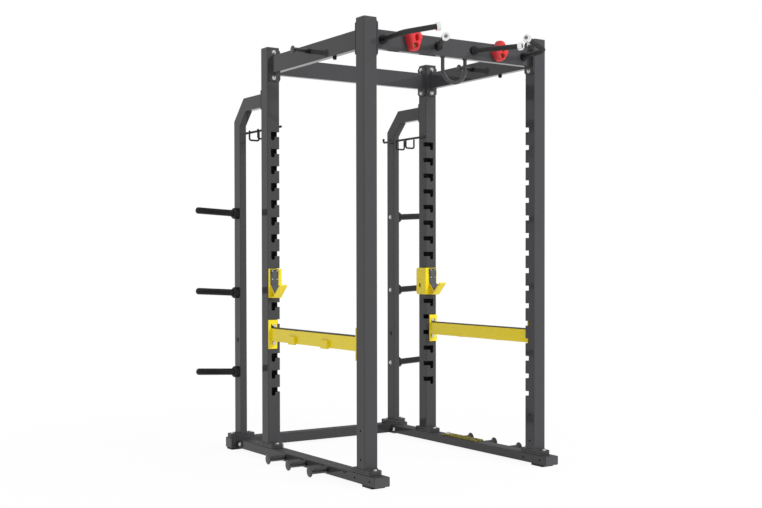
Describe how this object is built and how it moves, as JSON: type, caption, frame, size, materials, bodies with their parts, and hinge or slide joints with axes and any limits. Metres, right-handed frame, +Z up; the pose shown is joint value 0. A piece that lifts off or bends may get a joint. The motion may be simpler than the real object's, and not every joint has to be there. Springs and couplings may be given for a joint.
{
  "type": "power cage",
  "caption": "Free-standing power cage with slotted uprights, pull-up handles, lift-off bar rests and safety bars, and plate storage behind.",
  "frame": {"origin": "on the floor, under the middle of the cage's bounding box", "axes": "+X to the right as the user faces in from the front, +Y to the plate storage at the back, +Z up"},
  "size_m": [1.732, 1.7746, 2.41],
  "materials": {
    "frame_paint": "semi-gloss dark grey powder coat",
    "black_plastic": "satin black moulded plastic",
    "rubber": "matt black rubber",
    "zinc_steel": "bright zinc-plated steel",
    "black_paint": "satin black paint",
    "yellow_paint": "gloss yellow powder coat",
    "grey_plastic": "satin grey wear plastic",
    "red_resin": "fine-grained red polyurethane resin"
  },
  "bodies": {
    "frame": {"base_bolts": "zinc_steel", "beam_flanges": "frame_paint", "beam_studs": "black_plastic", "climbing_hold_bolts": "zinc_steel", "climbing_holds": "red_resin", "flange_bolts": "zinc_steel", "foot_plates": "frame_paint", "frame_nuts": "zinc_steel", "front_top_beam": "frame_paint", "handle_collars": "black_paint", "handle_end_caps": "zinc_steel", "hook_rails": "black_paint", "horn_bolts": "zinc_steel", "horn_collars": "black_paint", "horn_end_caps": "black_plastic", "inner_handles": "rubber", "left_base_rail": "frame_paint", "left_storage_post": "frame_paint", "outer_handles": "rubber", "plate_horns": "black_paint", "rail_band_pegs": "black_paint", "rail_spigots": "frame_paint", "rail_strap": "yellow_paint", "rear_crossmember": "frame_paint", "rear_top_beam": "frame_paint", "right_base_rail": "frame_paint", "right_storage_post": "frame_paint", "rubber_feet": "rubber", "side_top_beams": "frame_paint", "storage_arm_flanges": "frame_paint", "storage_arms": "frame_paint", "storage_elbows": "frame_paint", "storage_post_plugs": "black_plastic", "suspension_ring": "frame_paint", "top_band_pegs": "black_paint", "tube_end_caps": "black_plastic", "upright_front_left": "frame_paint", "upright_front_right": "frame_paint", "upright_rear_left": "frame_paint", "upright_rear_right": "frame_paint", "upright_top_caps": "black_plastic", "wire_hooks": "black_paint"},
    "left_bar_rest": {"left_bar_rest_bracket": "yellow_paint", "left_bar_rest_liner": "grey_plastic", "left_bar_rest_lugs": "zinc_steel", "left_bar_rest_screws": "zinc_steel"},
    "left_safety": {"left_safety_bar": "yellow_paint", "left_safety_blocks": "yellow_paint", "left_safety_end_plates": "yellow_paint", "left_safety_pad": "rubber", "left_safety_studs": "zinc_steel"},
    "right_bar_rest": {"right_bar_rest_bracket": "yellow_paint", "right_bar_rest_liner": "grey_plastic", "right_bar_rest_lugs": "zinc_steel", "right_bar_rest_screws": "zinc_steel"},
    "right_safety": {"right_safety_bar": "yellow_paint", "right_safety_blocks": "yellow_paint", "right_safety_end_plates": "yellow_paint", "right_safety_pad": "rubber", "right_safety_studs": "zinc_steel"}
  },
  "joints": [
    {"name": "left_bar_rest_lift", "type": "slide", "parent": "frame", "child": "left_bar_rest", "axis": [0, 0, 1], "range_m": [0, 0.025]},
    {"name": "left_safety_lift", "type": "slide", "parent": "frame", "child": "left_safety", "axis": [0, 0, 1], "range_m": [0, 0.025]},
    {"name": "right_bar_rest_lift", "type": "slide", "parent": "frame", "child": "right_bar_rest", "axis": [0, 0, 1], "range_m": [0, 0.025]},
    {"name": "right_safety_lift", "type": "slide", "parent": "frame", "child": "right_safety", "axis": [0, 0, 1], "range_m": [0, 0.025]}
  ]
}
